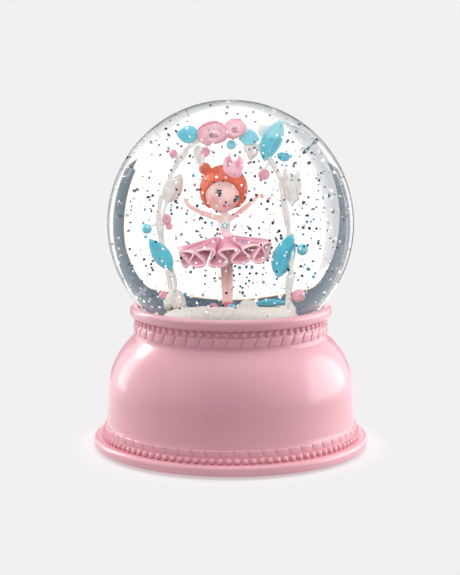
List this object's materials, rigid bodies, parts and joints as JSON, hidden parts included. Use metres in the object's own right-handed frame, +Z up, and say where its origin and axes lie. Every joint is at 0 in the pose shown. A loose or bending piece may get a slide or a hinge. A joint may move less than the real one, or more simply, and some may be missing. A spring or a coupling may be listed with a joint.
{
  "type": "light-up snow globe",
  "caption": "Light-up snow globe: a water-filled glass ball with a dancer under a flowered arch, on a moulded base with lamps, cells and a magnet-driven swirl.",
  "frame": {"origin": "middle of the footprint, on the surface the feet stand on", "axes": "+Z up through the middle of the base and the globe, -Y is the side the dancer faces, +X is on the right as seen from that side"},
  "size_m": [0.1126, 0.1126, 0.1416],
  "materials": {
    "shell_pink": "glossy moulded pink",
    "clear_glass": "clear, polished",
    "clear_liquid": "clear liquid",
    "glitter": "mixed metallic flakes",
    "clear_silicone": "milky, translucent",
    "foam_seal": "matte",
    "white_resin": "satin cast resin",
    "teal_resin": "painted resin",
    "rose_resin": "painted resin",
    "skin_resin": "painted resin",
    "hair_resin": "painted resin",
    "white_plastic": "fine moulded grain",
    "diffuser": "frosted",
    "plate_pink": "moulded, fine grain",
    "foot_rubber": "matte",
    "screw_steel": "zinc plated",
    "spring_steel": "nickel plated",
    "motor_steel": "plated can",
    "magnet_metal": "nickel plated",
    "board_green": "solder mask",
    "lamp_yellow": "clear over phosphor",
    "switch_black": "moulded",
    "cell_silver": "plain wrapped can",
    "lead_red": "insulation"
  },
  "bodies": {
    "root": {"base_shell": "shell_pink", "glass_globe": "clear_glass", "neck_stopper": "clear_silicone", "globe_gasket": "foam_seal", "island": "white_resin", "liquid_fill": "clear_liquid", "glitter_flakes": "glitter", "impeller_pin": "spring_steel", "motor_bracket": "white_plastic", "bracket_screws": "screw_steel", "motor_can": "motor_steel", "lamp_board": "board_green", "lamps": "lamp_yellow", "light_diffuser": "diffuser", "base_plate": "plate_pink", "plate_screws": "screw_steel", "feet": "foot_rubber", "battery_tray": "white_plastic", "contact_plates": "spring_steel", "contact_springs": "spring_steel", "circuit_board": "board_green", "switch_body": "switch_black", "lamp_leads": "lead_red", "motor_leads": "lead_red", "battery_leads": "lead_red", "branch_arch": "white_resin", "teal_leaves": "teal_resin", "white_leaves": "white_resin", "ground_leaves": "teal_resin", "rose_left": "rose_resin", "rose_right": "rose_resin", "pink_berries": "rose_resin", "teal_berries": "teal_resin", "white_bush": "white_resin", "figure_leg": "skin_resin", "figure_skirt": "rose_resin", "figure_body": "skin_resin", "figure_arms": "skin_resin", "figure_head": "skin_resin", "figure_hair": "hair_resin", "figure_crown": "rose_resin", "bodice_star": "teal_resin", "battery_cell_1": "cell_silver", "battery_cell_2": "cell_silver", "battery_cell_3": "cell_silver"},
    "rotor": {"rotor_shaft": "spring_steel", "magnet_carrier": "white_plastic", "drive_magnets": "magnet_metal"},
    "swirl_impeller": {"impeller": "white_plastic", "impeller_magnets": "magnet_metal"},
    "power_switch": {"switch_knob": "white_plastic"},
    "cell_door": {"battery_door": "plate_pink"},
    "cell_door_screw": {"door_screw": "screw_steel"}
  },
  "joints": [
    {"name": "rotor_spin", "type": "hinge", "parent": "root", "child": "rotor", "pos_m": [0, 0, 0.045], "axis": [0, 0, 1], "continuous": true},
    {"name": "impeller_spin", "type": "hinge", "parent": "root", "child": "swirl_impeller", "pos_m": [0, 0, 0.058], "axis": [0, 0, 1], "continuous": true},
    {"name": "switch_slide", "type": "slide", "parent": "root", "child": "power_switch", "axis": [1, 0, 0], "range_m": [0, 0.004]},
    {"name": "door_tilt", "type": "hinge", "parent": "root", "child": "cell_door", "pos_m": [-0.02665, 0.008, 0.0008], "axis": [0, 1, 0], "range_deg": [0, 80]},
    {"name": "door_screw_turn", "type": "hinge", "parent": "cell_door", "child": "cell_door_screw", "pos_m": [0.03085, 0.008, 0.003], "axis": [0, 0, 1], "continuous": true}
  ],
  "couplings": [
    {"joint": "impeller_spin", "follows": "rotor_spin", "ratio": 1}
  ]
}
